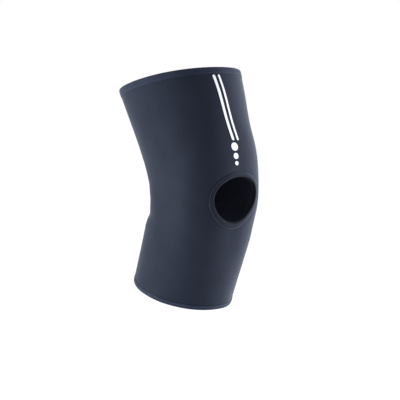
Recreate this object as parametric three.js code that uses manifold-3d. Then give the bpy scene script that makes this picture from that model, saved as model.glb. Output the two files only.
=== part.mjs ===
// An open-patella knee sleeve, in the shape that it takes on a slightly bent right leg.
// Units are millimetres and degrees. The origin is the middle of the knee, inside the sleeve.
// +Z is up the leg, the kneecap faces -Y, and the leg's outer side faces -X.

import * as THREE from "three";
import { mergeVertices } from "three/addons/utils/BufferGeometryUtils.js";
import Module from "manifold-3d";

const wasm = await Module();
wasm.setup();

// The leg that the sleeve holds: lengths along it, and how it bends at the knee
const thigh_length = 124; // from the knee's middle to the top edge
const shin_length = 121; // from the knee's middle to the bottom edge
const thigh_lean = 22; // how far the thigh leans back from upright
const shin_lean = 19; // how far the shin leans back from upright
const bend_length = 90; // stretch of the leg over which it bends
const top_edge_lean = 13.5; // the edges are pulled on a little nearer to level than square to the leg
const bottom_edge_lean = 17;

// The sleeve's outside, front to back and side to side
const thigh_depth = 137;
const thigh_width = 129;
const knee_depth = 117;
const knee_width = 109;
const shin_depth = 113;
const shin_width = 109;

// The foamed sheet and the bands at its two edges
const wall = 3;
const band_cloth = 1; // thickness of the cloth folded over each edge
const band_proud = 0.4; // how far a band stands out from the sheet, outside and inside
const band_fold = 1.2; // radius of its fold
const top_band_height = 8;
const bottom_band_height = 5;
const seam_gap = 0.3; // between pieces that are sewn or bonded together

// The opening for the kneecap, and the padded ring round it
const hole_width = 55.5;
const hole_height = 49;
const hole_drop = 8; // from the knee's middle down to the opening's middle
const hole_turn = 6; // how far the opening's inner end is turned up
const hole_egg = 0.14; // how much wider the opening is above its middle than below it
const ring_side = 6; // width of the ring beside the opening
const ring_end = 7; // width of the ring above and below the opening, in the middle
const ring_drop = 1.8; // how far it is lowered, which widens it below and narrows it above
const ring_proud = 0.8; // how far it stands out from the sheet, outside and inside
const ring_softness = 0.55; // how round its section is, from 0 for square to 1 for round

// The print on the thigh's front: two stripes, with a row of dots between them and the ring
const outer_stripe_width = 3.3;
const inner_stripe_width = 2.5;
const stripe_gap = 3.8; // between the two stripes
const stripe_start = 1.2; // from the top band down to the stripes
const print_thickness = 0.4;
const dot_diameters = [9, 6.5, 4.5];
const dot_gap = 2.4;
const dots_above_ring = 7.5;
const dots_side = 1; // how far the dots sit to the inner side
const stripe_side = -1.2; // and the stripes' middle
const stripe_lean = 8; // how far the stripes lean to the outer side on their way up

// How finely the surfaces are cut into facets
const columns = 56;
const outside_pitch = 7;
const inside_pitch = 14;
const ring_steps = 40;
const ring_profile_steps = 12;
const stripe_pitch = 6;
const dot_sides = 16;

// Sections from the bottom edge to the top edge. at is a share of shin_length below the knee and of
// thigh_length above it. front, back, outer and inner are shares of the half depth and half width
// there, and corner is how square the front of the section is. The back is square by back_corner of it.
const back_corner = 0.25;
const sections = [
  { at: -1.0, front: 0.99, back: 1.03, outer: 1.03, inner: 0.91, corner: 0.02 },
  { at: -0.8, front: 0.98, back: 1.03, outer: 1.02, inner: 0.918, corner: 0.04 },
  { at: -0.55, front: 0.97, back: 1.01, outer: 1.01, inner: 0.965, corner: 0.06 },
  { at: -0.38, front: 0.96, back: 0.99, outer: 1.0, inner: 0.965, corner: 0.09 },
  { at: -0.25, front: 0.97, back: 0.95, outer: 0.98, inner: 0.965, corner: 0.1 },
  { at: -0.05, front: 1.0, back: 0.96, outer: 0.99, inner: 1.02, corner: 0.11 },
  { at: 0.2, front: 1.01, back: 1.0, outer: 1.01, inner: 1.03, corner: 0.09 },
  { at: 0.5, front: 0.98, back: 1.0, outer: 1.0, inner: 0.983, corner: 0.05 },
  { at: 0.8, front: 1.0, back: 1.0, outer: 1.0, inner: 1.0, corner: 0.03 },
  { at: 1.0, front: 0.99, back: 1.01, outer: 1.02, inner: 1.0, corner: 0.04 },
];

// Soft forms that the leg pushes up or that the bend leaves, each a rounded rise or hollow. at is as
// above, around is degrees from the front towards the inner side, tall and wide are shares of
// knee_depth, turn is how far its length leans over, and rise is a share of wall.
const forms = [
  { name: "crease behind the knee", at: -0.33, around: 180, tall: 0.07, wide: 0.6, turn: 0, rise: -0.7 },
  { name: "edge down the outer side", at: -0.06, around: -62, tall: 0.4, wide: 0.1, turn: 0, rise: 0.35 },
  { name: "crease under the muscle", at: 0.36, around: -51, tall: 0.2, wide: 0.09, turn: 49, rise: -0.35 },
  { name: "fold below that crease", at: 0.25, around: -41, tall: 0.2, wide: 0.09, turn: 49, rise: 0.45 },
  { name: "inner thigh muscle", at: 0.35, around: 62, tall: 0.3, wide: 0.2, turn: -20, rise: 0.4 },
];

const radians = THREE.MathUtils.degToRad;
const lerp = THREE.MathUtils.lerp;
const smoothstep = THREE.MathUtils.smoothstep;

const alongOf = (at) => at * (at < 0 ? shin_length : thigh_length);
const half_bend = bend_length / 2;
const bend_rate = radians(thigh_lean + shin_lean) / bend_length;
const middle_lean = radians((thigh_lean - shin_lean) / 2);
const tilt_rate = radians(top_edge_lean + bottom_edge_lean) / bend_length;
const front_stretch = 1 + (tilt_rate * knee_depth) / 2; // of the bent knee's front against the axis

// The leg's axis is an arc through the knee with a straight line on each side of it.
function axisAt(along) {
  const inBend = THREE.MathUtils.clamp(along, -half_bend, half_bend);
  const lean = middle_lean + bend_rate * inBend;
  const rest = along - inBend;
  const y = (Math.cos(middle_lean) - Math.cos(lean)) / bend_rate + rest * Math.sin(lean);
  const z = (Math.sin(lean) - Math.sin(middle_lean)) / bend_rate + rest * Math.cos(lean);
  const share = (lean + radians(shin_lean)) / radians(thigh_lean + shin_lean);
  const tilt = radians(lerp(-bottom_edge_lean, top_edge_lean, share));
  return { point: new THREE.Vector3(0, y, z), front: new THREE.Vector3(0, -Math.cos(tilt), Math.sin(tilt)) };
}

// A smooth curve through one column of the sections.
function sectionValue(column, along) {
  const rows = sections.map((row) => [alongOf(row.at), row[column]]);
  const k = Math.max(0, rows.slice(0, -1).findLastIndex(([a]) => a <= along));
  const slope = (n) => {
    const before = rows[Math.max(n - 1, 0)];
    const after = rows[Math.min(n + 1, rows.length - 1)];
    return (after[1] - before[1]) / (after[0] - before[0]);
  };
  const [[a0, v0], [a1, v1]] = [rows[k], rows[k + 1]];
  const span = a1 - a0;
  const t = (along - a0) / span;
  const t2 = t * t;
  const t3 = t2 * t;
  return (
    (2 * t3 - 3 * t2 + 1) * v0 +
    (t3 - 2 * t2 + t) * span * slope(k) +
    (3 * t2 - 2 * t3) * v1 +
    (t3 - t2) * span * slope(k + 1)
  );
}

// Half of a size that runs from its value at the shin's end, through the knee, to the thigh's end.
function halfSize(shin, knee, thigh, along) {
  return along < 0
    ? lerp(knee, shin, smoothstep(-along, 0, shin_length)) / 2
    : lerp(knee, thigh, smoothstep(along, 0, thigh_length)) / 2;
}

// The sleeve's outside before the soft forms. around is 0 at the front and grows towards the inner side.
function plainPoint(along, around) {
  const { point, front } = axisAt(along);
  const halfDepth = halfSize(shin_depth, knee_depth, thigh_depth, along);
  const halfWidth = halfSize(shin_width, knee_width, thigh_width, along);
  const [sin, cos] = [Math.sin(around), Math.cos(around)];
  const frontDepth = halfDepth * sectionValue("front", along);
  const backDepth = halfDepth * sectionValue("back", along);
  const outerWidth = halfWidth * sectionValue("outer", along);
  const innerWidth = halfWidth * sectionValue("inner", along);
  const corner = sectionValue("corner", along) * lerp(back_corner, 1, (1 + cos) / 2);
  const square = 1 + corner * Math.sin(2 * around) ** 2;
  const forward = ((frontDepth + backDepth) / 2 + ((frontDepth - backDepth) / 2) * cos) * cos * square;
  const sideways = ((innerWidth + outerWidth) / 2 + ((innerWidth - outerWidth) / 2) * sin) * sin * square;
  return point.addScaledVector(front, forward).add(new THREE.Vector3(sideways, 0, 0));
}

function outwardNormal(along, around) {
  const step = 0.5;
  const turn = step / (knee_width / 2);
  const up = plainPoint(along + step, around).sub(plainPoint(along - step, around));
  const across = plainPoint(along, around + turn).sub(plainPoint(along, around - turn));
  return across.cross(up).normalize();
}

// How far the soft forms raise the surface.
function reliefAt(along, around) {
  return forms.reduce((sum, form) => {
    const offset = around - radians(form.around);
    const across = (Math.atan2(Math.sin(offset), Math.cos(offset)) * knee_width) / 2;
    const up = along - alongOf(form.at);
    const [sin, cos] = [Math.sin(radians(form.turn)), Math.cos(radians(form.turn))];
    const u = (up * cos + across * sin) / (form.tall * knee_depth);
    const v = (across * cos - up * sin) / (form.wide * knee_depth);
    return sum + form.rise * wall * Math.exp(-u * u - v * v);
  }, 0);
}

// A point of the sleeve: along the leg, round it, and lifted off its outside.
function sleevePoint(along, around, lift) {
  const rise = lift + reliefAt(along, around);
  return plainPoint(along, around).addScaledVector(outwardNormal(along, around), rise);
}

// A point of the sleeve's front, by its distances up from the knee's middle and across from the middle line.
function frontPoint(up, across, lift) {
  const inBend = THREE.MathUtils.clamp(up, -half_bend * front_stretch, half_bend * front_stretch);
  const along = inBend / front_stretch + up - inBend;
  return sleevePoint(along, across / halfSize(shin_width, knee_width, thigh_width, along), lift);
}

const countFor = (length, pitch) => Math.max(1, Math.round(length / pitch));
const steps = (count) => Array.from({ length: count }, (_, i) => i / count);
const evenly = (from, to, count) => Array.from({ length: count + 1 }, (_, i) => lerp(from, to, i / count));

function geometryOf(points, triangles) {
  const geometry = new THREE.BufferGeometry().setFromPoints(points);
  return geometry.setIndex(triangles.flat());
}

// A solid from rings of points, each ring a closed section. The rings close on each other, or end in caps.
function loft(rings, closed) {
  const size = rings[0].length;
  const count = rings.length;
  const points = rings.flat();
  const triangles = [];
  for (let i = 0; i < (closed ? count : count - 1); i++) {
    for (let j = 0; j < size; j++) {
      const [a, b] = [i * size + j, i * size + ((j + 1) % size)];
      const [c, d] = [((i + 1) % count) * size + j, ((i + 1) % count) * size + ((j + 1) % size)];
      triangles.push([a, c, b], [b, c, d]);
    }
  }
  if (!closed) {
    for (const [start, flip] of [[0, false], [(count - 1) * size, true]]) {
      const ring = points.slice(start, start + size);
      const middle = points.length;
      points.push(ring.reduce((sum, p) => sum.add(p), new THREE.Vector3()).divideScalar(size));
      for (let j = 0; j < size; j++) {
        const [a, b] = [start + j, start + ((j + 1) % size)];
        triangles.push(flip ? [middle, b, a] : [middle, a, b]);
      }
    }
  }
  return geometryOf(points, triangles);
}

// A band of any closed section round the leg. profile holds pairs of a place along the leg and a lift.
function bandRound(profile) {
  const rings = steps(columns).map((turn) =>
    profile.map(([along, lift]) => sleevePoint(along, turn * 2 * Math.PI, lift)),
  );
  return loft(rings, true);
}

function solidOf(geometry) {
  const bare = new THREE.BufferGeometry().setAttribute("position", geometry.getAttribute("position"));
  const merged = mergeVertices(bare.setIndex(geometry.index));
  return new wasm.Manifold(
    new wasm.Mesh({
      numProp: 3,
      vertProperties: merged.getAttribute("position").array,
      triVerts: new Uint32Array(merged.index.array),
    }),
  );
}

function geometryFrom(solid) {
  const mesh = solid.getMesh();
  return new THREE.BufferGeometry()
    .setAttribute("position", new THREE.BufferAttribute(mesh.vertProperties, 3))
    .setIndex(new THREE.BufferAttribute(mesh.triVerts, 1));
}

// A point of the ring: turn goes round the opening, and outward runs from 0 at its edge to 1 at the ring's.
function ringPoint(turn, outward, lift) {
  const angle = turn * 2 * Math.PI;
  const [sin, cos] = [Math.sin(angle), Math.cos(angle)];
  const across = (hole_width / 2 + ring_side * outward) * cos * (1 + hole_egg * sin);
  const up = (hole_height / 2 + ring_end * outward) * sin - ring_drop * outward;
  const turnedUp = Math.tan(radians(hole_turn)) * across;
  return frontPoint(up + turnedUp - hole_drop, across, lift);
}

// The foamed sheet, necked down where a band wraps each edge, with the seat for the ring cut out.
function sleeveBody() {
  const neck = band_cloth + seam_gap - band_proud;
  const topEnd = thigh_length - band_cloth - seam_gap;
  const bottomEnd = -shin_length + band_cloth + seam_gap;
  const topStep = thigh_length - top_band_height - seam_gap;
  const bottomStep = -shin_length + bottom_band_height + seam_gap;
  const face = (pitch) => [
    [bottomEnd, -neck],
    [bottomStep, -neck],
    ...evenly(bottomStep, topStep, countFor(topStep - bottomStep, pitch)).map((along) => [along, 0]),
    [topStep, -neck],
    [topEnd, -neck],
  ];
  const inside = face(inside_pitch).map(([along, lift]) => [along, -wall - lift]);
  const tube = solidOf(bandRound([...face(outside_pitch), ...inside.reverse()]));
  const reach = hole_width / 2;
  const lifts = [reach, ring_proud, -wall - ring_proud, -wall - reach];
  const seat = loft(lifts.map((lift) => steps(ring_steps).map((turn) => ringPoint(turn, 1, lift))), false);
  return geometryFrom(tube.subtract(solidOf(seat)));
}

// A strip of cloth folded over an edge of the sheet: edge is the edge's place along the leg, and
// inward is the direction from it into the sleeve, 1 or -1.
function edgeBand(edge, inward, height) {
  const bevel = band_cloth / 3;
  const fold = [0, Math.PI / 4, Math.PI / 2].map((angle) => [
    band_fold * (1 - Math.sin(angle)),
    band_proud - band_fold * (1 - Math.cos(angle)),
  ]);
  const outer = [[height, band_proud - bevel], [height - bevel, band_proud], ...fold];
  const inner = outer.map(([down, lift]) => [down, -wall - lift]).reverse();
  const hollow = [[height, -1], [band_cloth, -1], [band_cloth, 1], [height, 1]].map(([down, side]) => [
    down,
    -wall / 2 + side * (wall / 2 + band_proud - band_cloth),
  ]);
  const profile = [...outer, ...inner, ...hollow].map(([down, lift]) => [edge + inward * down, lift]);
  return bandRound(inward < 0 ? profile : profile.reverse());
}

// The padded ring: a soft rounded section carried round the opening.
function patellaRing() {
  const edge = 1 - seam_gap / ring_side;
  const halfHeight = wall / 2 + ring_proud;
  const rounded = (value) => Math.sign(value) * Math.abs(value) ** ring_softness;
  const rings = steps(ring_steps).map((turn) =>
    steps(ring_profile_steps).map((step) => {
      const angle = step * 2 * Math.PI;
      const outward = (edge / 2) * (1 + rounded(Math.cos(angle)));
      const lift = -wall / 2 + halfHeight * rounded(Math.sin(angle));
      return ringPoint(turn, outward, lift);
    }),
  );
  return loft(rings, true);
}

const ring_top = hole_height / 2 + ring_end - ring_drop - hole_drop;
const dots_bottom = ring_top + dots_above_ring;
const dots_height = dot_diameters.reduce((sum, diameter) => sum + diameter + dot_gap, 0);
const stripe_bottom = dots_bottom + dots_height;
const stripe_top = thigh_length - top_band_height - stripe_start + half_bend * (front_stretch - 1);
const stripes_width = outer_stripe_width + stripe_gap + inner_stripe_width;

// A bonded stripe that follows the thigh's front, from an offset from the stripes' outer edge.
function stripe(offset, width) {
  const lifts = [seam_gap, seam_gap + print_thickness];
  const count = countFor(stripe_top - stripe_bottom, stripe_pitch);
  const rings = evenly(stripe_bottom, stripe_top, count).map((up) => {
    const leaning = Math.tan(radians(stripe_lean)) * ((stripe_bottom + stripe_top) / 2 - up);
    const left = stripe_side + leaning - stripes_width / 2 + offset;
    const right = left + width;
    return [
      frontPoint(up, left, lifts[0]),
      frontPoint(up, right, lifts[0]),
      frontPoint(up, right, lifts[1]),
      frontPoint(up, left, lifts[1]),
    ];
  });
  return loft(rings, false);
}

// A bonded dot, its middle at a height on the front.
function dot(middle, diameter) {
  const rings = [seam_gap + print_thickness, seam_gap].map((lift) =>
    steps(dot_sides).map((turn) => {
      const angle = turn * 2 * Math.PI;
      const across = dots_side + (diameter / 2) * Math.cos(angle);
      return frontPoint(middle + (diameter / 2) * Math.sin(angle), across, lift);
    }),
  );
  return loft(rings, false);
}

const foamed_sheet = new THREE.MeshStandardMaterial({ color: 0x343a49, roughness: 0.9, metalness: 0 });
const band_material = new THREE.MeshStandardMaterial({ color: 0x3a4152, roughness: 0.88, metalness: 0 });
const ring_material = new THREE.MeshStandardMaterial({ color: 0x373d4c, roughness: 0.9, metalness: 0 });
const print_material = new THREE.MeshStandardMaterial({ color: 0xf2f3f5, roughness: 0.5, metalness: 0 });

const sleeve = new THREE.Group();

function add(name, geometry, material) {
  const mesh = new THREE.Mesh(geometry, material);
  mesh.name = name;
  sleeve.add(mesh);
}

add("sleeve_body", sleeveBody(), foamed_sheet);
add("top_band", edgeBand(thigh_length, -1, top_band_height), band_material);
add("bottom_band", edgeBand(-shin_length, 1, bottom_band_height), band_material);
add("patella_ring", patellaRing(), ring_material);
add("stripe_outer", stripe(0, outer_stripe_width), print_material);
add("stripe_inner", stripe(outer_stripe_width + stripe_gap, inner_stripe_width), print_material);

let dot_edge = stripe_bottom;
dot_diameters.forEach((diameter, index) => {
  dot_edge -= dot_gap + diameter;
  add(`dot_${index + 1}`, dot(dot_edge + diameter / 2, diameter), print_material);
});

export default sleeve;
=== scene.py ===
# A pull-on knee sleeve with an open kneecap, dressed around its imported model.
# Lengths are millimetres and angles degrees until a point is written to a mesh, in metres.

import math

import bpy
import numpy as np
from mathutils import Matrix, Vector


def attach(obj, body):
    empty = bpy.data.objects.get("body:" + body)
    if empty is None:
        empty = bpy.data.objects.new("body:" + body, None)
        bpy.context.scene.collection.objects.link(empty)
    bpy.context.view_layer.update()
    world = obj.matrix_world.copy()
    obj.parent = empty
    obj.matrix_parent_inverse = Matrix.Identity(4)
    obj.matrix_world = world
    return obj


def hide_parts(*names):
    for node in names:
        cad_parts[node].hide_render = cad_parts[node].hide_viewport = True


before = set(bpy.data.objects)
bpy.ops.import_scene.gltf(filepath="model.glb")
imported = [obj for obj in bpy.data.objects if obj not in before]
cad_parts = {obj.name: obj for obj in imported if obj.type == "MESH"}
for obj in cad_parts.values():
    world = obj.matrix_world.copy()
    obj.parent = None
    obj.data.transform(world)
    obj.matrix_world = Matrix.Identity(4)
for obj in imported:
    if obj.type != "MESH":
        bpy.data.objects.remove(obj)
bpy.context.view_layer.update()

MM = 0.001

# The leg that the sleeve holds, as the solids have it
THIGH_LENGTH = 124
SHIN_LENGTH = 121
THIGH_LEAN = 22
SHIN_LEAN = 19
BEND_LENGTH = 90
TOP_EDGE_LEAN = 13.5
BOTTOM_EDGE_LEAN = 17
THIGH_DEPTH, THIGH_WIDTH = 137, 129
KNEE_DEPTH, KNEE_WIDTH = 117, 109
SHIN_DEPTH, SHIN_WIDTH = 113, 109

# The foamed sheet, the bindings at its edges and the ring round the kneecap opening
WALL = 3
TOP_BINDING_HEIGHT = 8
BOTTOM_BINDING_HEIGHT = 5
BINDING_CLOTH = 0.7
BINDING_PROUD = 0.4  # the foam gives way under it, so it stands out by less than its thickness
TOUCH = 0.05  # the air between two layers that lie together
WALL_UNDER_BINDING = BINDING_CLOTH - BINDING_PROUD + TOUCH  # how far each face is pressed in there
BINDING_LAP = 8
LAP_PROUD = 0.6  # how far the upper end of a lap stands out, as a share of the cloth
LAP_SLOPE = 0.8
HOLE_WIDTH, HOLE_HEIGHT = 55.5, 49
HOLE_DROP = 8
HOLE_TURN = 6
HOLE_EGG = 0.14
RING_SIDE, RING_END = 6, 7
RING_DROP = 1.8
RING_PROUD = 0.8
RING_SOFTNESS = 0.55

# How deep the sewing draws the foam in, and how wide
BINDING_SLOPE = 1.2
SEAM_DENTS = ((0.45, 1.1), (0.18, 3.2))
RING_DENT = 0.55
RING_DENT_REACH = 0.09  # as a share of the ring's size

# The print
OUTER_STRIPE_WIDTH, INNER_STRIPE_WIDTH = 3.3, 2.5
STRIPE_GAP = 3.8
STRIPE_START = 1.2
STRIPE_SIDE = -1.2
STRIPE_LEAN = 8
DOT_DIAMETERS = (9, 6.5, 4.5)
DOT_GAP = 2.4
DOTS_ABOVE_RING = 7.5
DOTS_SIDE = 1
FILM = 0.25

# Sections from the bottom edge to the top edge: a share of the length below or above the knee, then
# the front, back, outer and inner shares of the half sizes, and how square the front is
SECTIONS = (
    (-1.0, 0.99, 1.03, 1.03, 0.91, 0.02),
    (-0.8, 0.98, 1.03, 1.02, 0.918, 0.04),
    (-0.55, 0.97, 1.01, 1.01, 0.965, 0.06),
    (-0.38, 0.96, 0.99, 1.0, 0.965, 0.09),
    (-0.25, 0.97, 0.95, 0.98, 0.965, 0.1),
    (-0.05, 1.0, 0.96, 0.99, 1.02, 0.11),
    (0.2, 1.01, 1.0, 1.01, 1.03, 0.09),
    (0.5, 0.98, 1.0, 1.0, 0.983, 0.05),
    (0.8, 1.0, 1.0, 1.0, 1.0, 0.03),
    (1.0, 0.99, 1.01, 1.02, 1.0, 0.04),
)
FRONT, BACK, OUTER, INNER, CORNER = range(1, 6)
BACK_CORNER = 0.25

# Rises and hollows of the sheet: its name, mm up from the knee's middle, degrees round from the
# front, how tall and how wide it is, how far it leans over, and how far it rises
FORMS = (
    ("crease behind the knee", -39.9, 180, 8.2, 70.2, 0, -2.1),
    ("edge down the outer side", -7.3, -57, 46.8, 13, 0, 1.7),
    ("crease under the muscle", 44.6, -51, 23.2, 10.4, 49, -1.05),
    ("fold below that crease", 31.0, -41, 23.2, 10.4, 49, 1.7),
    ("inner thigh muscle", 43.4, 62, 34.8, 23.2, -20, 1.2),
    ("top crease behind the knee", 17, 172, 3.4, 24, 7, -1.2),
    ("roll under the top crease", 10, 176, 3.6, 27, 4, 0.8),
    ("second crease behind the knee", 2, 189, 3.1, 29, -5, -1.4),
    ("roll under the second crease", -6, 181, 3.6, 30, 2, 0.6),
    ("third crease behind the knee", -14, 170, 3.1, 33, 4, -1.5),
    ("roll above the deep crease", -28, 182, 5.5, 42, 0, 0.5),
    ("roll below the deep crease", -56, 180, 7, 44, 0, 0.3),
    ("low crease behind the knee", -62, 191, 3.2, 26, -6, -1.0),
    ("crease towards the inner side", -27, 122, 3, 20, 18, -0.8),
    ("crease above the inner knee", 24, 128, 3.2, 22, -14, -0.6),
)


def smooth(share):
    held = np.clip(share, 0, 1)
    return held * held * (3 - 2 * held)


HALF_BEND = BEND_LENGTH / 2
BEND_RATE = math.radians(THIGH_LEAN + SHIN_LEAN) / BEND_LENGTH
MIDDLE_LEAN = math.radians((THIGH_LEAN - SHIN_LEAN) / 2)
FRONT_STRETCH = 1 + math.radians(TOP_EDGE_LEAN + BOTTOM_EDGE_LEAN) / BEND_LENGTH * KNEE_DEPTH / 2


def section_value(column, along):
    """A smooth curve through one column of the sections."""
    at = np.array([row[0] * (SHIN_LENGTH if row[0] < 0 else THIGH_LENGTH) for row in SECTIONS])
    value = np.array([row[column] for row in SECTIONS])
    before = np.concatenate((value[:1], value[:-1]))
    after = np.concatenate((value[1:], value[-1:]))
    reach = np.concatenate((at[1:], at[-1:])) - np.concatenate((at[:1], at[:-1]))
    slope = (after - before) / reach
    k = np.clip(np.searchsorted(at, along, side="right") - 1, 0, len(at) - 2)
    span = at[k + 1] - at[k]
    t = (along - at[k]) / span
    return (
        (2 * t**3 - 3 * t**2 + 1) * value[k]
        + (t**3 - 2 * t**2 + t) * span * slope[k]
        + (3 * t**2 - 2 * t**3) * value[k + 1]
        + (t**3 - t**2) * span * slope[k + 1]
    )


def half_size(shin, knee, thigh, along):
    below = knee + (shin - knee) * smooth(-along / SHIN_LENGTH)
    above = knee + (thigh - knee) * smooth(along / THIGH_LENGTH)
    return np.where(along < 0, below, above) / 2


def plain_point(along, around):
    """The sleeve's outside before its rises and hollows. around is in radians, and 0 at the front."""
    bent = np.clip(along, -HALF_BEND, HALF_BEND)
    lean = MIDDLE_LEAN + BEND_RATE * bent
    straight = along - bent
    y = (math.cos(MIDDLE_LEAN) - np.cos(lean)) / BEND_RATE + straight * np.sin(lean)
    z = (np.sin(lean) - math.sin(MIDDLE_LEAN)) / BEND_RATE + straight * np.cos(lean)
    share = (lean + math.radians(SHIN_LEAN)) / math.radians(THIGH_LEAN + SHIN_LEAN)
    tilt = np.radians(-BOTTOM_EDGE_LEAN + (TOP_EDGE_LEAN + BOTTOM_EDGE_LEAN) * share)
    depth = half_size(SHIN_DEPTH, KNEE_DEPTH, THIGH_DEPTH, along)
    width = half_size(SHIN_WIDTH, KNEE_WIDTH, THIGH_WIDTH, along)
    sin, cos = np.sin(around), np.cos(around)
    ahead = depth * section_value(FRONT, along)
    behind = depth * section_value(BACK, along)
    outer = width * section_value(OUTER, along)
    inner = width * section_value(INNER, along)
    corner = section_value(CORNER, along) * (BACK_CORNER + (1 - BACK_CORNER) * (1 + cos) / 2)
    square = 1 + corner * np.sin(2 * around) ** 2
    forward = ((ahead + behind) / 2 + (ahead - behind) / 2 * cos) * cos * square
    sideways = ((inner + outer) / 2 + (inner - outer) / 2 * sin) * sin * square
    return np.stack((sideways, y - forward * np.cos(tilt), z + forward * np.sin(tilt)), axis=-1)


def unit(vectors):
    return vectors / np.linalg.norm(vectors, axis=-1, keepdims=True)


def outward_at(along, around):
    step = 0.5
    turn = step / (KNEE_WIDTH / 2)
    up = plain_point(along + step, around) - plain_point(along - step, around)
    across = plain_point(along, around + turn) - plain_point(along, around - turn)
    return unit(np.cross(across, up))


# The faint unevenness that foam always has, as ripples: mm to a radian along the leg, turns round
# it, phase and height
RIPPLES = [
    (9 + 16 * length, round(2 + 11 * turns), 2 * math.pi * phase, 0.03 + 0.05 * height)
    for length, turns, phase, height in np.random.default_rng(11).uniform(0, 1, (9, 4))
]


def relief_at(along, around):
    """How far the leg, the bend and the foam's own ripples raise the sheet."""
    raised = np.zeros(np.broadcast(along, around).shape)
    for _, up, degrees, tall, wide, turn, rise in FORMS:
        offset = around - math.radians(degrees)
        across = np.arctan2(np.sin(offset), np.cos(offset)) * KNEE_WIDTH / 2
        lift = along - up
        sin, cos = math.sin(math.radians(turn)), math.cos(math.radians(turn))
        u = (lift * cos + across * sin) / tall
        v = (across * cos - lift * sin) / wide
        raised = raised + rise * np.exp(-u * u - v * v)
    for length, turns, phase, height in RIPPLES:
        raised = raised + height * np.sin(along / length + turns * around + phase)
    return raised


def sleeve_point(along, around, lift):
    rise = np.asarray(lift + relief_at(along, around))
    return plain_point(along, around) + outward_at(along, around) * rise[..., None]


def front_place(up, across):
    """Along and around for a place on the front, by its distances up and across."""
    bent = np.clip(up, -HALF_BEND * FRONT_STRETCH, HALF_BEND * FRONT_STRETCH)
    along = bent / FRONT_STRETCH + up - bent
    return along, across / half_size(SHIN_WIDTH, KNEE_WIDTH, THIGH_WIDTH, along)


def front_distances(along, around):
    bent = np.clip(along, -HALF_BEND, HALF_BEND)
    up = bent * FRONT_STRETCH + along - bent
    return up, around * half_size(SHIN_WIDTH, KNEE_WIDTH, THIGH_WIDTH, along)


def ring_place(turn, outward):
    """Along and around for a place on the ring. outward is 0 at its opening and 1 at its edge."""
    sin, cos = np.sin(turn), np.cos(turn)
    across = (HOLE_WIDTH / 2 + RING_SIDE * outward) * cos * (1 + HOLE_EGG * sin)
    up = (HOLE_HEIGHT / 2 + RING_END * outward) * sin - RING_DROP * outward
    turned_up = math.tan(math.radians(HOLE_TURN)) * across
    return front_place(up + turned_up - HOLE_DROP, across)


def ring_share(along, around):
    """How far out from the ring's middle a place is, 1 on the ring's outer edge, and its two parts."""
    up, across = front_distances(along, around)
    turned_up = math.tan(math.radians(HOLE_TURN)) * across
    rise = (up - turned_up + HOLE_DROP + RING_DROP) / (HOLE_HEIGHT / 2 + RING_END)
    side = across / ((HOLE_WIDTH / 2 + RING_SIDE) * (1 + HOLE_EGG * np.clip(rise, -1.5, 1.5)))
    return np.hypot(rise, side), rise, side


def pressed_at(along, around):
    """How far thread and binding press the foam in, from each face."""
    binding = WALL_UNDER_BINDING * np.maximum(
        smooth((along - THIGH_LENGTH + TOP_BINDING_HEIGHT + BINDING_SLOPE / 2) / BINDING_SLOPE),
        smooth((BOTTOM_BINDING_HEIGHT + BINDING_SLOPE / 2 - SHIN_LENGTH - along) / BINDING_SLOPE),
    )
    from_seam = (math.pi - np.abs(around)) * KNEE_WIDTH / 2
    seam = sum(deep * np.exp(-((from_seam / wide) ** 2)) for deep, wide in SEAM_DENTS)
    share, _, _ = ring_share(along, around)
    beside_ring = RING_DENT * smooth((1 + RING_DENT_REACH - share) / RING_DENT_REACH)
    return np.maximum(np.maximum(binding, seam), beside_ring)


def lap_at(around):
    """How far a binding's upper end stands out, where its ends lie over each other at the back."""
    turned = np.arctan2(np.sin(around), np.cos(around))
    from_back = (math.pi - np.abs(turned)) * KNEE_WIDTH / 2
    upper = np.where(turned < 0, 1 - smooth((from_back - BINDING_LAP) / LAP_SLOPE), 0)
    return upper * BINDING_CLOTH * LAP_PROUD


# Meshes


def alone():
    if bpy.context.mode != "OBJECT":
        bpy.ops.object.mode_set(mode="OBJECT")
    bpy.ops.object.select_all(action="DESELECT")


def pick(piece):
    """Selects one piece and nothing else, and makes it the active one."""
    alone()
    bpy.context.view_layer.objects.active = piece
    piece.select_set(True)


def flat_grid(name, columns, rows):
    """A grid from -1 to 1 both ways."""
    alone()
    bpy.ops.mesh.primitive_grid_add(x_subdivisions=columns, y_subdivisions=rows, size=2, calc_uvs=True)
    piece = bpy.context.active_object
    piece.name = piece.data.name = name
    return piece


def points_of(piece):
    flat = np.zeros(len(piece.data.vertices) * 3)
    piece.data.vertices.foreach_get("co", flat)
    return flat.reshape(-1, 3)


def centres_of(piece):
    flat = np.zeros(len(piece.data.polygons) * 3)
    piece.data.polygons.foreach_get("center", flat)
    return flat.reshape(-1, 3)


def put(piece, points):
    piece.data.vertices.foreach_set("co", np.asarray(points, dtype=float).ravel())
    piece.data.update()


def lay_out(piece, across, up):
    """Writes the cloth's own flat lengths, in metres, to the piece's UV map."""
    layer = piece.data.uv_layers[0]
    layer.name = "cloth"
    corners = np.zeros(len(piece.data.loops), dtype=int)
    piece.data.loops.foreach_get("vertex_index", corners)
    layer.data.foreach_set("uv", (np.stack((across[corners], up[corners]), axis=-1) * MM).ravel())


def edit(piece, mode, **step):
    """One edit-mode operator on all of a piece."""
    pick(piece)
    bpy.ops.object.mode_set(mode="EDIT")
    bpy.ops.mesh.select_all(action="SELECT")
    mode(**step)
    bpy.ops.object.mode_set(mode="OBJECT")


def apply(piece, kind, **settings):
    pick(piece)
    modifier = piece.modifiers.new(kind.title(), kind)
    for key, value in settings.items():
        setattr(modifier, key, value)
    bpy.ops.object.modifier_apply(modifier=modifier.name)


def soften(piece, degrees=50):
    pick(piece)
    bpy.ops.object.shade_smooth_by_angle(angle=math.radians(degrees))


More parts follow.
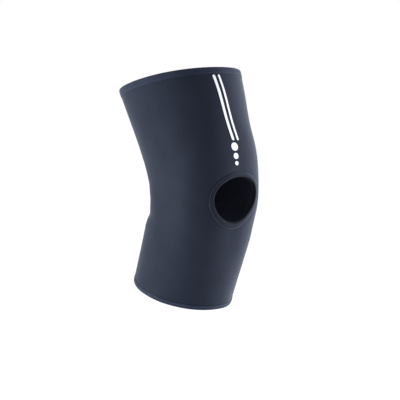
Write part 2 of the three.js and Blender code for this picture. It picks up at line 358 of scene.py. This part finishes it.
def finish_piece(piece, slot, node, *materials):
    piece.data.materials.clear()
    for material in materials:
        piece.data.materials.append(material)
    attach(piece, "root")
    if node:
        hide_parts(node)


# Finishes


def linear(colour):
    """A hex sRGB colour as linear numbers."""
    parts = [int(colour[i : i + 2], 16) / 255 for i in (1, 3, 5)]
    return [c / 12.92 if c <= 0.04045 else ((c + 0.055) / 1.055) ** 2.4 for c in parts] + [1.0]


def add(tree, kind, inputs=None, **settings):
    """A shader node with its settings, and its inputs as values or as links."""
    made = tree.nodes.new("ShaderNode" + kind)
    for key, value in settings.items():
        setattr(made, key, value)
    for socket, value in (inputs or {}).items():
        if isinstance(value, bpy.types.NodeSocket):
            tree.links.new(value, made.inputs[socket])
        else:
            made.inputs[socket].default_value = value
    return made


COURSE = 0.8  # from one V to the next up a rib, as a share of the rib's width
V_SLANT = 1.6
FUZZ = 1.1  # the size of the loose fibres' specks
WEAR = 26  # the size of the patches that wear makes paler


def knit(name, dark, light, sheen, wale=1.3, bump=0.5, roughness=0.82):
    """Nylon jersey bonded to foam: fine upright ribs of V stitches, matt, with a soft bluish sheen
    at the edges of the form. The real ribs are about 0.8 mm apart, drawn wider so that they show."""
    material = bpy.data.materials.new(name)
    material.use_nodes = True
    tree = material.node_tree
    shader = tree.nodes["Principled BSDF"]
    place = add(tree, "UVMap", uv_map="cloth")
    parts = add(tree, "SeparateXYZ", {0: place.outputs[0]})
    ribs = add(tree, "Math", {0: parts.outputs[0], 1: 1 / (wale * MM)}, operation="MULTIPLY")
    half = add(tree, "Math", {0: ribs.outputs[0], 1: 0.5}, operation="PINGPONG")
    courses = add(tree, "Math", {0: parts.outputs[1], 1: 1 / (COURSE * wale * MM)}, operation="MULTIPLY")
    slanted = add(
        tree, "Math", {0: half.outputs[0], 1: V_SLANT, 2: courses.outputs[0]}, operation="MULTIPLY_ADD"
    )
    turned = add(tree, "Math", {0: slanted.outputs[0], 1: 2 * math.pi}, operation="MULTIPLY")
    stitch = add(tree, "Math", {0: turned.outputs[0]}, operation="SINE")
    loops = add(tree, "Math", {0: stitch.outputs[0], 1: 0.25, 2: 0.5}, operation="MULTIPLY_ADD")
    crown = add(tree, "Math", {0: half.outputs[0], 1: 2 * math.pi}, operation="MULTIPLY")
    rounded = add(tree, "Math", {0: crown.outputs[0]}, operation="SINE")
    height = add(tree, "Math", {0: rounded.outputs[0], 1: loops.outputs[0]}, operation="MULTIPLY")
    solid = add(tree, "TexCoord").outputs["Object"]
    wear = add(
        tree, "TexNoise", {"Vector": solid, "Scale": 1 / (WEAR * MM), "Detail": 4, "Roughness": 0.62}
    )
    fuzz = add(
        tree, "TexNoise", {"Vector": solid, "Scale": 1 / (FUZZ * MM), "Detail": 2, "Roughness": 0.6}
    )
    patch = add(tree, "MapRange", {0: wear.outputs["Fac"], 1: 0.35, 2: 0.65, 3: 0.14, 4: 0.36})
    grain = add(
        tree, "Math", {0: fuzz.outputs["Fac"], 1: 0.35, 2: patch.outputs[0]}, operation="MULTIPLY_ADD"
    )
    # Painted shade between the ribs: the rib height darkens the colour in the grooves, mixed with the
    # fuzz specks and the paler wear patches
    rib_shade_and_grain = add(
        tree, "Math", {0: height.outputs[0], 1: 0.3, 2: grain.outputs[0]}, operation="MULTIPLY_ADD"
    )
    colour = add(
        tree, "Mix", {0: rib_shade_and_grain.outputs[0], 6: linear(dark), 7: linear(light)}, data_type="RGBA"
    )
    tree.links.new(colour.outputs[2], shader.inputs["Base Color"])
    rough = add(
        tree,
        "MapRange",
        {0: fuzz.outputs["Fac"], 1: 0.3, 2: 0.7, 3: roughness - 0.06, 4: roughness + 0.06},
    )
    tree.links.new(rough.outputs[0], shader.inputs["Roughness"])
    fluffy = add(
        tree, "Math", {0: fuzz.outputs["Fac"], 1: 0.4, 2: height.outputs[0]}, operation="MULTIPLY_ADD"
    )
    raised = add(tree, "Bump", {"Strength": bump, "Distance": 0.15 * MM, "Height": fluffy.outputs[0]})
    tree.links.new(raised.outputs[0], shader.inputs["Normal"])
    shader.inputs["IOR"].default_value = 1.5
    shader.inputs["Specular IOR Level"].default_value = 0.1
    shader.inputs["Sheen Weight"].default_value = sheen
    shader.inputs["Sheen Roughness"].default_value = 0.3
    shader.inputs["Sheen Tint"].default_value = linear("#b9c4d6")
    return material


# The outside of the sleeve: blue black, with the most bloom where the form turns away
jersey = knit("nylon_jersey_on_foam", "#11151e", "#1f2433", 0.35)
# The inside: the same jersey painted a shade paler, painted light that lifts the shaded hollow so that
# it reads as lit cloth
lining_painted_light = knit("nylon_jersey_lining", "#232834", "#383f4e", 0.3)
# The bindings: the jersey pulled tight over the edge, so its ribs are closer and its colour bluer
binding_jersey = knit("folded_jersey_binding", "#151a26", "#252c3d", 0.26, wale=1.1)
# The ring: the jersey over its padding, painted darker than the sheet, partly its own tone and partly
# painted shade that dims its lit inner roll, and with less bloom
ring_jersey = knit("jersey_over_padding", "#0f131b", "#1b202d", 0.2, wale=1.1)
# The opening's inner roll: a matt black facing that is painted shade for the shadow in the opening, seen
# as a dark line along the inside of the ring
ring_painted_shade = knit("opening_painted_shade", "#07080c", "#0e1016", 0.04, wale=1.1)

PLY_BANDS = 900  # which puts the wave's bands about 0.4 mm apart


def thread_material(name, dark, light):
    """Twisted polyester thread: two plies that turn round each other, with painted shade in short
    slanting bands where the grooves between them lie.
    """
    material = bpy.data.materials.new(name)
    material.use_nodes = True
    tree = material.node_tree
    shader = tree.nodes["Principled BSDF"]
    place = add(tree, "TexCoord")
    plies = add(
        tree,
        "TexWave",
        {"Vector": place.outputs["Object"], "Scale": PLY_BANDS, "Distortion": 3.0, "Detail": 2},
        bands_direction="DIAGONAL",
    )
    # Painted shade: the ply wave that raises the thread also darkens its grooves
    colour = add(
        tree, "Mix", {0: plies.outputs["Fac"], 6: linear(dark), 7: linear(light)}, data_type="RGBA"
    )
    tree.links.new(colour.outputs[2], shader.inputs["Base Color"])
    raised = add(tree, "Bump", {"Strength": 0.5, "Distance": 0.05 * MM, "Height": plies.outputs["Fac"]})
    tree.links.new(raised.outputs[0], shader.inputs["Normal"])
    shader.inputs["Roughness"].default_value = 0.6
    shader.inputs["IOR"].default_value = 1.55
    shader.inputs["Specular IOR Level"].default_value = 0.25
    shader.inputs["Sheen Weight"].default_value = 0.15
    shader.inputs["Sheen Tint"].default_value = linear("#b9c4d6")
    return material


# Thread in two shades: the top binding and the seam are sewn tone on tone, the rest paler
dark_thread = thread_material("polyester_thread_dark", "#121723", "#20283a")
light_thread = thread_material("polyester_thread_light", "#2b3241", "#434c5f")


def film_material():
    """Heat-pressed polyurethane film: satin white, with the ribs of the jersey faint beneath it.
    Its specks are about 1.4 mm apart."""
    material = bpy.data.materials.new("pressed_white_film")
    material.use_nodes = True
    tree = material.node_tree
    shader = tree.nodes["Principled BSDF"]
    place = add(tree, "UVMap", uv_map="cloth")
    ribs = add(tree, "TexWave", {"Vector": place.outputs[0], "Scale": math.pi / 10 / (1.3 * MM)})
    scatter = add(tree, "TexNoise", {"Vector": place.outputs[0], "Scale": 700, "Detail": 3})
    colour = add(
        tree,
        "Mix",
        {0: scatter.outputs["Fac"], 6: linear("#d2d4d7"), 7: linear("#dcdee1")},
        data_type="RGBA",
    )
    tree.links.new(colour.outputs[2], shader.inputs["Base Color"])
    height = add(
        tree,
        "Math",
        {0: scatter.outputs["Fac"], 1: 0.5, 2: ribs.outputs["Fac"]},
        operation="MULTIPLY_ADD",
    )
    raised = add(tree, "Bump", {"Strength": 0.25, "Distance": 0.06 * MM, "Height": height.outputs[0]})
    tree.links.new(raised.outputs[0], shader.inputs["Normal"])
    shader.inputs["Roughness"].default_value = 0.42
    shader.inputs["IOR"].default_value = 1.5
    return material


film = film_material()


# The foamed sheet: cut flat with its kneecap opening, then wrapped round the leg and sewn at the back
SHEET_COLUMNS, SHEET_ROWS = 248, 156
SHEET_FINER = 0.35  # how much closer its columns lie at the front and back than at the sides
FOLD_GAP = 0.1  # from the sheet's end to the fold of its binding
sheet_top = THIGH_LENGTH - BINDING_CLOTH - FOLD_GAP
sheet_bottom = -SHIN_LENGTH + BINDING_CLOTH + FOLD_GAP

sheet = flat_grid("sleeve_sheet", SHEET_COLUMNS, SHEET_ROWS)
flat = points_of(sheet)
around = math.pi * (flat[:, 0] - SHEET_FINER * np.sin(2 * math.pi * flat[:, 0]) / (2 * math.pi))
along = sheet_bottom + (sheet_top - sheet_bottom) * (flat[:, 1] + 1) / 2
put(sheet, np.stack((around, along, np.zeros(len(around))), axis=-1))

centres = centres_of(sheet)
inside_ring = ring_share(centres[:, 1], centres[:, 0])[0] < 1
pick(sheet)
bpy.ops.object.mode_set(mode="EDIT")
bpy.ops.mesh.select_mode(type="FACE")
bpy.ops.mesh.select_all(action="DESELECT")
bpy.ops.object.mode_set(mode="OBJECT")
sheet.data.polygons.foreach_set("select", inside_ring)
bpy.ops.object.mode_set(mode="EDIT")
bpy.ops.mesh.delete(type="FACE")
bpy.ops.object.mode_set(mode="OBJECT")

flat = points_of(sheet)
share, rise, side = ring_share(flat[:, 1], flat[:, 0])
uses = np.zeros(len(sheet.data.loops), dtype=int)
sheet.data.loops.foreach_get("edge_index", uses)
ends = np.zeros(len(sheet.data.edges) * 2, dtype=int)
sheet.data.edges.foreach_get("vertices", ends)
border = np.unique(ends.reshape(-1, 2)[np.bincount(uses, minlength=len(sheet.data.edges)) == 1])
NEAR_RING = 1.3  # what lies further out is the sheet's own edge
border = border[share[border] < NEAR_RING]
UNDER_RING = 0.965  # where the sheet's cut edge lies, hidden inside the ring
scale = UNDER_RING / share[border]
across = side[border] * scale * (HOLE_WIDTH / 2 + RING_SIDE) * (1 + HOLE_EGG * rise[border] * scale)
up = rise[border] * scale * (HOLE_HEIGHT / 2 + RING_END) - RING_DROP - HOLE_DROP
up += math.tan(math.radians(HOLE_TURN)) * across
flat[border, 1], flat[border, 0] = front_place(up, across)
along, around = flat[:, 1], flat[:, 0]
lay_out(sheet, around * KNEE_WIDTH / 2, along)
pressed = pressed_at(along, around)
put(sheet, sleeve_point(along, around, -pressed) * MM)
walls = sheet.vertex_groups.new(name="wall")
thickness = 1 - 2 * pressed / WALL
for level in np.unique(np.round(thickness, 2)):
    members = np.flatnonzero(np.round(thickness, 2) == level)
    walls.add([int(i) for i in members], float(level), "REPLACE")
edit(sheet, bpy.ops.mesh.remove_doubles, threshold=0.01 * MM)
apply(
    sheet,
    "SOLIDIFY",
    thickness=WALL * MM,
    offset=-1,
    use_even_offset=True,
    vertex_group="wall",
    material_offset=1,
    material_offset_rim=1,
)
finish_piece(sheet, "sleeve_jersey", "sleeve_body", jersey, lining_painted_light)
soften(sheet)


# The bindings: a strip of jersey folded over each edge and sewn through, its ends lapped at the back
BINDING_COLUMNS, BINDING_STEPS = 480, 22
BINDING_SIDE = (WALL - 2 * WALL_UNDER_BINDING + BINDING_CLOTH) / 2 + TOUCH  # from the wall's middle
THREAD = 0.42
STITCH = 2.6
STITCH_PITCH = 3.2
STITCH_DIVE = 0.9  # how deep its ends go, as a share of half the thread
STITCH_PROUD = 0.12  # how far the middle of a stitch lies over the cloth
STITCH_IN = 1.5  # from the binding's free edge to its row of stitches
STITCH_DENT = 0.2  # how far the row draws the binding in
STITCH_DENT_WIDE = 0.55
STITCH_PUCKER = 0.06  # how much the dent comes and goes with each stitch
HEM_WAVE, HEM_WAVES = 0.12, 9  # how far the free edge strays, and how often round the leg


def binding(name, node, edge, inward, height):
    piece = flat_grid(name, BINDING_COLUMNS, BINDING_STEPS)
    flat = points_of(piece)
    around = math.pi * flat[:, 0]
    leg = height - BINDING_SIDE
    length = 2 * leg + math.pi * BINDING_SIDE
    walked = (flat[:, 1] + 1) / 2 * length
    turned = np.clip((walked - leg) / BINDING_SIDE, 0, math.pi)
    fold = (walked >= leg) & (walked <= length - leg)
    straight = height - np.minimum(walked, length - walked)
    down = np.where(fold, BINDING_SIDE * (1 - np.sin(turned)), straight)
    out = np.cos(turned)
    pucker = STITCH_PUCKER * np.cos(math.pi * np.abs(around) * KNEE_WIDTH / STITCH_PITCH)
    in_row = np.exp(-(((down - height + STITCH_IN) / STITCH_DENT_WIDE) ** 2))
    pulled = in_row * (STITCH_DENT + pucker)
    wavy = HEM_WAVE * np.sin(around * HEM_WAVES + 1) * np.clip(down / height, 0, 1)
    lift = -WALL / 2 + out * (BINDING_SIDE - pulled + lap_at(around))
    lay_out(piece, around * KNEE_WIDTH / 2, walked)
    put(piece, sleeve_point(edge + inward * (down + wavy), around, lift) * MM)
    edit(piece, bpy.ops.mesh.remove_doubles, threshold=0.01 * MM)
    if inward > 0:
        edit(piece, bpy.ops.mesh.flip_normals)
    apply(piece, "SOLIDIFY", thickness=BINDING_CLOTH * MM, offset=0, use_even_offset=True)
    finish_piece(piece, "band_cloth", node, binding_jersey)
    soften(piece, 60)
    return piece


top_binding = binding("top_binding", "top_band", THIGH_LENGTH, -1, TOP_BINDING_HEIGHT)
bottom_binding = binding("bottom_binding", "bottom_band", -SHIN_LENGTH, 1, BOTTOM_BINDING_HEIGHT)


# The padded ring: jersey rolled over soft cord and sewn down beside the sheet
RING_COLUMNS, RING_STEPS = 220, 36
RING_ROW = 0.8  # where its row of stitches runs, as a share of its width
PAINTED_SHADE_TURN = 60  # how far up its roll the painted shade of the opening reaches
ROW_DENT, ROW_DENT_WIDE = 0.42, 0.1  # the width as a share of the ring's
ROW_PUCKER, ROW_PUCKER_WIDE = 0.05, 0.14
ROW_PUCKERS = 64
ROLL_RADIUS = 3.2  # of a round roll with as much cloth in it


def ring_lift(outward, angle):
    rounded = np.sign(np.sin(angle)) * np.abs(np.sin(angle)) ** RING_SOFTNESS
    dip = ROW_DENT * np.exp(-(((outward - RING_ROW) / ROW_DENT_WIDE) ** 2))
    return -WALL / 2 + (WALL / 2 + RING_PROUD - dip) * rounded


ring = flat_grid("kneecap_ring", RING_COLUMNS, RING_STEPS)
flat = points_of(ring)
turn, angle = math.pi * flat[:, 0], math.pi * flat[:, 1]
edge_share = 1 - TOUCH / RING_SIDE
outward = edge_share / 2 * (1 - np.sign(np.cos(angle)) * np.abs(np.cos(angle)) ** RING_SOFTNESS)
beside_row = np.exp(-(((outward - RING_ROW) / ROW_PUCKER_WIDE) ** 2))
puckered = ROW_PUCKER * np.cos(turn * ROW_PUCKERS) * beside_row
ring_along, ring_around = ring_place(turn, outward)
lay_out(ring, turn * (HOLE_WIDTH + HOLE_HEIGHT) / 4, angle * ROLL_RADIUS)
middles = centres_of(ring)
put(ring, sleeve_point(ring_along, ring_around, ring_lift(outward, angle) + puckered) * MM)
finish_piece(ring, "ring_jersey", "patella_ring", ring_jersey, ring_painted_shade)
# The faces of the inner roll take the painted shade: a near-black facing where the opening lies in
# shadow
ring.data.polygons.foreach_set("material_index", (180 * middles[:, 1] < PAINTED_SHADE_TURN).astype(int))
edit(ring, bpy.ops.mesh.remove_doubles, threshold=0.01 * MM)
edit(ring, bpy.ops.mesh.normals_make_consistent, inside=False)
soften(ring, 70)


# Stitches: one is modelled, then copied along each row


def one_stitch():
    """A short stretch of thread that dives into the cloth at both ends."""
    alone()
    bpy.ops.mesh.primitive_uv_sphere_add(segments=6, ring_count=6, radius=1)
    stitch = bpy.context.active_object
    points = points_of(stitch)
    length = points[:, 2].copy()
    round_end = np.sqrt(np.clip(1 - length**2, 0, 1))
    filled = np.where(round_end > 0, 1 / np.maximum(round_end, 0.01), 0)
    thick = filled * (1 - np.abs(length) ** 3) ** 0.5
    height = points[:, 1] * thick - STITCH_DIVE * length**4
    put(stitch, np.stack((length, points[:, 0] * thick, height), axis=-1))
    return stitch


def rows_of_stitches(name, slot, material, rows):
    """rows holds arrays of middles, ways and outward normals, and each row's stitch and thread."""
    stitch = one_stitch()
    shape = points_of(stitch)
    faces = [tuple(face.vertices) for face in stitch.data.polygons]
    points, polygons = [], []
    for middles, ways, normals, length, thread in rows:
        ways = unit(ways)
        normals = unit(normals - ways * np.sum(normals * ways, axis=-1, keepdims=True))
        sides = np.cross(normals, ways)
        for middle, way, normal, side in zip(middles, ways, normals, sides):
            start = len(points) * len(shape)
            points.append(
                middle
                + shape[:, :1] * way * length / 2
                + shape[:, 1:2] * side * thread / 2
                + shape[:, 2:] * normal * thread / 2
            )
            polygons.extend(tuple(start + i for i in face) for face in faces)
    stitch.data.clear_geometry()
    stitch.data.from_pydata((np.concatenate(points) * MM).tolist(), [], polygons)
    stitch.name = stitch.data.name = name
    edit(stitch, bpy.ops.mesh.normals_make_consistent, inside=False)
    finish_piece(stitch, slot, None, material)
    soften(stitch, 80)
    return stitch


def evenly(place, pitch):
    """Shares from 0 to 1 that lie one pitch apart on a path."""
    fine = np.linspace(0, 1, 1501)
    walked = np.concatenate(([0], np.cumsum(np.linalg.norm(np.diff(place(fine), axis=0), axis=1))))
    count = round(walked[-1] / pitch)
    wanted = (np.arange(count) + 0.5) / count * walked[-1]
    return np.interp(wanted, walked, fine)


def both_faces(row, *where):
    """A row of stitches on the outside and one on the inside. row gives a path for a face, and a path
    gives points for shares and a lift."""
    rows = []
    for face in (1, -1):
        place = row(*where, face)
        shares = evenly(lambda s: place(s, 0), STITCH_PITCH)
        step = 0.0005
        ways = place(shares + step, 0) - place(shares - step, 0)
        normals = place(shares, 1) - place(shares, 0)
        rows.append((place(shares, STITCH_PROUD), ways, normals, STITCH, THREAD))
    return rows


def binding_row(edge, inward, height, face):
    proud = BINDING_SIDE + BINDING_CLOTH / 2 - STITCH_DENT
    row = edge + inward * (height - STITCH_IN)

    def place(s, out):
        around = 2 * math.pi * s
        return sleeve_point(row + 0 * s, around, -WALL / 2 + face * (proud + lap_at(around) + out))

    return place


def ring_row(face):
    lift = ring_lift(RING_ROW, face * math.pi / 2)

    def place(s, out):
        ring_along, ring_around = ring_place(2 * math.pi * s, RING_ROW)
        return sleeve_point(ring_along, ring_around, lift + face * (out - ROW_PUCKER))

    return place


top_binding_stitches = rows_of_stitches(
    "top_binding_stitches",
    "band_cloth",
    dark_thread,
    both_faces(binding_row, THIGH_LENGTH, -1, TOP_BINDING_HEIGHT),
)
bottom_binding_stitches = rows_of_stitches(
    "bottom_binding_stitches",
    "band_cloth",
    light_thread,
    both_faces(binding_row, -SHIN_LENGTH, 1, BOTTOM_BINDING_HEIGHT),
)
rows_of_stitches("kneecap_ring_stitches", "ring_jersey", light_thread, both_faces(ring_row))

SEAM_REACH = 2.4  # how far its zigzag goes to each side
SEAM_PITCH = 1.9
SEAM_STITCH = 2.2 * SEAM_REACH


def seam_row(face):
    lift = -WALL / 2 + face * (WALL / 2 - STITCH_PROUD)
    low, high = sheet_bottom + BOTTOM_BINDING_HEIGHT, sheet_top - TOP_BINDING_HEIGHT
    count = round((high - low) / SEAM_PITCH)
    along = low + (np.arange(count) + 0.5) / count * (high - low)
    lean = SEAM_PITCH / 2 * (-1.0) ** np.arange(count)
    turn = SEAM_REACH / (KNEE_WIDTH / 2)
    middle = sleeve_point(along, math.pi + 0 * along, lift)
    end = sleeve_point(along + lean / 2, math.pi + turn, lift)
    way = end - sleeve_point(along - lean / 2, math.pi - turn, lift)
    normal = sleeve_point(along, math.pi + 0 * along, lift + face) - middle
    return middle, way, normal, SEAM_STITCH, THREAD


seam_stitches = rows_of_stitches(
    "back_seam_stitches", "sleeve_jersey", dark_thread, [seam_row(1), seam_row(-1)]
)


# The print: two stripes with round ends and three dots, thin film that follows the sheet
ring_top = HOLE_HEIGHT / 2 + RING_END - RING_DROP - HOLE_DROP
stripe_bottom = ring_top + DOTS_ABOVE_RING + sum(DOT_DIAMETERS) + DOT_GAP * len(DOT_DIAMETERS)
stripe_top = THIGH_LENGTH - TOP_BINDING_HEIGHT - STRIPE_START + HALF_BEND * (FRONT_STRETCH - 1)
inner_offset = OUTER_STRIPE_WIDTH + STRIPE_GAP
stripes_width = inner_offset + INNER_STRIPE_WIDTH


def pressed_film(piece, up, across, node):
    """Lays a flat shape on the sheet as film."""
    lay_out(piece, across, up)
    along, around = front_place(up, across)
    put(piece, sleeve_point(along, around, FILM) * MM)
    apply(piece, "SOLIDIFY", thickness=(FILM + 0.1) * MM, offset=-1)
    finish_piece(piece, "print_film", node, film)
    soften(piece, 40)
    return piece


def stripe(name, node, offset, width):
    piece = flat_grid(name, 10, 90)
    flat = points_of(piece)
    half = width / 2
    length = stripe_top - stripe_bottom
    up = stripe_bottom + length * (0.5 + 0.5 * np.sin(flat[:, 1] * math.pi / 2))
    from_end = np.minimum(up - stripe_bottom, stripe_top - up)
    narrow = np.sqrt(np.clip(1 - np.clip(1 - from_end / half, 0, 1) ** 2, 0.02, 1))
    leaning = math.tan(math.radians(STRIPE_LEAN)) * ((stripe_bottom + stripe_top) / 2 - up)
    middle = STRIPE_SIDE + leaning - stripes_width / 2 + offset + half
    return pressed_film(piece, up, middle + flat[:, 0] * half * narrow, node)


def dot(name, node, middle, diameter):
    piece = flat_grid(name, 14, 14)
    x, y = points_of(piece)[:, :2].T
    across = DOTS_SIDE + diameter / 2 * x * np.sqrt(1 - y**2 / 2)
    return pressed_film(piece, middle + diameter / 2 * y * np.sqrt(1 - x**2 / 2), across, node)


prints = [
    stripe("print_stripe_outer", "stripe_outer", 0, OUTER_STRIPE_WIDTH),
    stripe("print_stripe_inner", "stripe_inner", inner_offset, INNER_STRIPE_WIDTH),
]
dot_edge = stripe_bottom
for number, diameter in enumerate(DOT_DIAMETERS, 1):
    dot_edge -= DOT_GAP + diameter
    prints.append(dot(f"print_dot_{number}", f"dot_{number}", dot_edge + diameter / 2, diameter))


# Floor, light and camera: matt white paper with a faint cloud of fibres, lit softly from both sides
alone()
bpy.ops.mesh.primitive_circle_add(vertices=96, radius=12, fill_type="NGON", location=(0, 0, -0.6))
floor = bpy.context.active_object
floor.name = "studio_floor"
paper = bpy.data.materials.new("white_studio_paper")
paper.use_nodes = True
tree = paper.node_tree
place = add(tree, "TexCoord").outputs["Object"]
fibres = add(tree, "TexNoise", {"Vector": place, "Scale": 30, "Detail": 3})
pale = add(
    tree,
    "Mix",
    {0: fibres.outputs["Fac"], 6: linear("#f8f8f8"), 7: linear("#fdfdfd")},
    data_type="RGBA",
)
shader = tree.nodes["Principled BSDF"]
tree.links.new(pale.outputs[2], shader.inputs["Base Color"])
shader.inputs["Roughness"].default_value = 0.9
shader.inputs["Emission Color"].default_value = linear("#ffffff")
shader.inputs["Emission Strength"].default_value = 0.09
floor.data.materials.append(paper)

world = bpy.data.worlds.new("white_studio")
bpy.context.scene.world = world
world.use_nodes = True
world.node_tree.nodes["Background"].inputs["Color"].default_value = linear("#ffffff")
world.node_tree.nodes["Background"].inputs["Strength"].default_value = 1.0

CAMERA_TURN = -40
CAMERA_RISE = 4
CAMERA_AWAY = 1.8


def direction(turn, rise):
    """The way to the camera for a view from turn degrees round and rise degrees up."""
    a, e = math.radians(turn), math.radians(rise)
    return Vector((math.sin(a) * math.cos(e), -math.cos(a) * math.cos(e), math.sin(e)))


def soft_light(name, turn, rise, away, size, watts, colour):
    where = direction(turn, rise) * away
    bpy.ops.object.light_add(type="AREA", location=where)
    light = bpy.context.active_object
    light.name = name
    light.rotation_euler = where.to_track_quat("Z", "Y").to_euler()
    light.data.size = size
    light.data.energy = watts
    light.data.color = linear(colour)[:3]


soft_light("left_softbox", CAMERA_TURN - 84, -6, 1.6, 0.8, 40, "#ffffff")
soft_light("right_softbox", CAMERA_TURN + 117, 0, 1.6, 0.9, 70, "#eaeffc")

bpy.ops.object.camera_add(location=direction(CAMERA_TURN, CAMERA_RISE) * CAMERA_AWAY)
camera = bpy.context.active_object
camera.rotation_euler = direction(CAMERA_TURN, CAMERA_RISE).to_track_quat("Z", "Y").to_euler()
camera.data.sensor_width = 36
camera.data.lens = 147.3
camera.data.shift_x = -0.005
camera.data.shift_y = -0.03
camera.data.dof.use_dof = False
bpy.context.scene.camera = camera
bpy.context.scene.view_settings.view_transform = "Standard"
